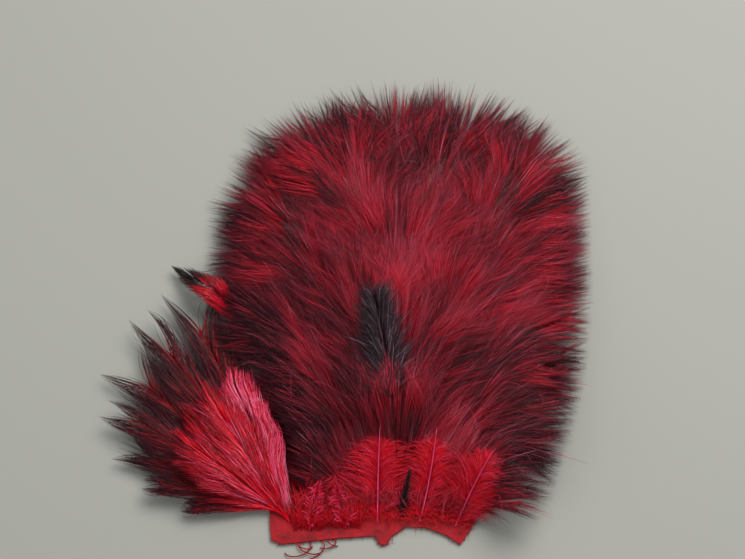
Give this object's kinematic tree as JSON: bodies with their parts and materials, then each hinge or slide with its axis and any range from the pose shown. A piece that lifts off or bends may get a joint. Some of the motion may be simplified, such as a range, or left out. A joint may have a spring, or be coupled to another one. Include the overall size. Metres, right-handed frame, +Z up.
{
  "type": "chicken marabou feather patch",
  "caption": "Patch of dyed hen skin with a dense dome of marabou feathers, a side tuft of glossy hackles and a bare torn lower edge, lying on its flesh side.",
  "frame": {"origin": "on the skin's flat underside, below the crown of the fluff", "axes": "+Z up out of the plumage, +Y from the torn lower edge of the skin towards the feather tips, +X to the right with the side tuft on the left"},
  "size_m": [0.1128, 0.1103, 0.0188],
  "materials": {
    "skin": "matt dyed hide, slightly fibrous",
    "marabou": "soft matt barbs, crimson with dark tips and a faint pink sheen",
    "hackle": "glossy bright red barbs with dark wispy ends",
    "soft_hackle": "satin bright red vane with a pink shaft",
    "dark_feather": "satin near-black vane with a purple sheen"
  },
  "bodies": {
    "root": {"skin": "skin", "marabou_feather_01": "marabou", "marabou_feather_02": "marabou", "marabou_feather_03": "marabou", "marabou_feather_04": "marabou", "marabou_feather_05": "marabou", "marabou_feather_06": "marabou", "marabou_feather_07": "marabou", "marabou_feather_08": "marabou", "marabou_feather_09": "marabou", "marabou_feather_10": "marabou", "marabou_feather_11": "marabou", "marabou_feather_12": "marabou", "marabou_feather_13": "marabou", "marabou_feather_14": "marabou", "marabou_feather_15": "marabou", "marabou_feather_16": "marabou", "marabou_feather_17": "marabou", "marabou_feather_18": "marabou", "marabou_feather_19": "marabou", "marabou_feather_20": "marabou", "marabou_feather_21": "marabou", "marabou_feather_22": "marabou", "marabou_feather_23": "marabou", "marabou_feather_24": "marabou", "marabou_feather_25": "marabou", "marabou_feather_26": "marabou", "marabou_feather_27": "marabou", "marabou_feather_28": "marabou", "marabou_feather_29": "marabou", "marabou_feather_30": "marabou", "marabou_feather_31": "marabou", "marabou_feather_32": "marabou", "marabou_feather_33": "marabou", "marabou_feather_34": "marabou", "marabou_feather_35": "marabou", "marabou_feather_36": "marabou", "marabou_feather_37": "marabou", "hackle_feather_01": "hackle", "hackle_feather_02": "hackle", "hackle_feather_03": "hackle", "hackle_feather_04": "hackle", "hackle_feather_05": "hackle", "hackle_feather_06": "hackle", "hackle_feather_07": "hackle", "hackle_feather_08": "hackle", "hackle_feather_09": "hackle", "hackle_feather_10": "hackle", "hackle_feather_11": "hackle", "hackle_feather_12": "hackle", "soft_hackle_1": "soft_hackle", "soft_hackle_2": "soft_hackle", "soft_hackle_3": "soft_hackle", "soft_hackle_4": "soft_hackle", "soft_hackle_5": "soft_hackle", "dark_feather": "dark_feather", "black_tipped_feather": "dark_feather"}
  },
  "joints": []
}
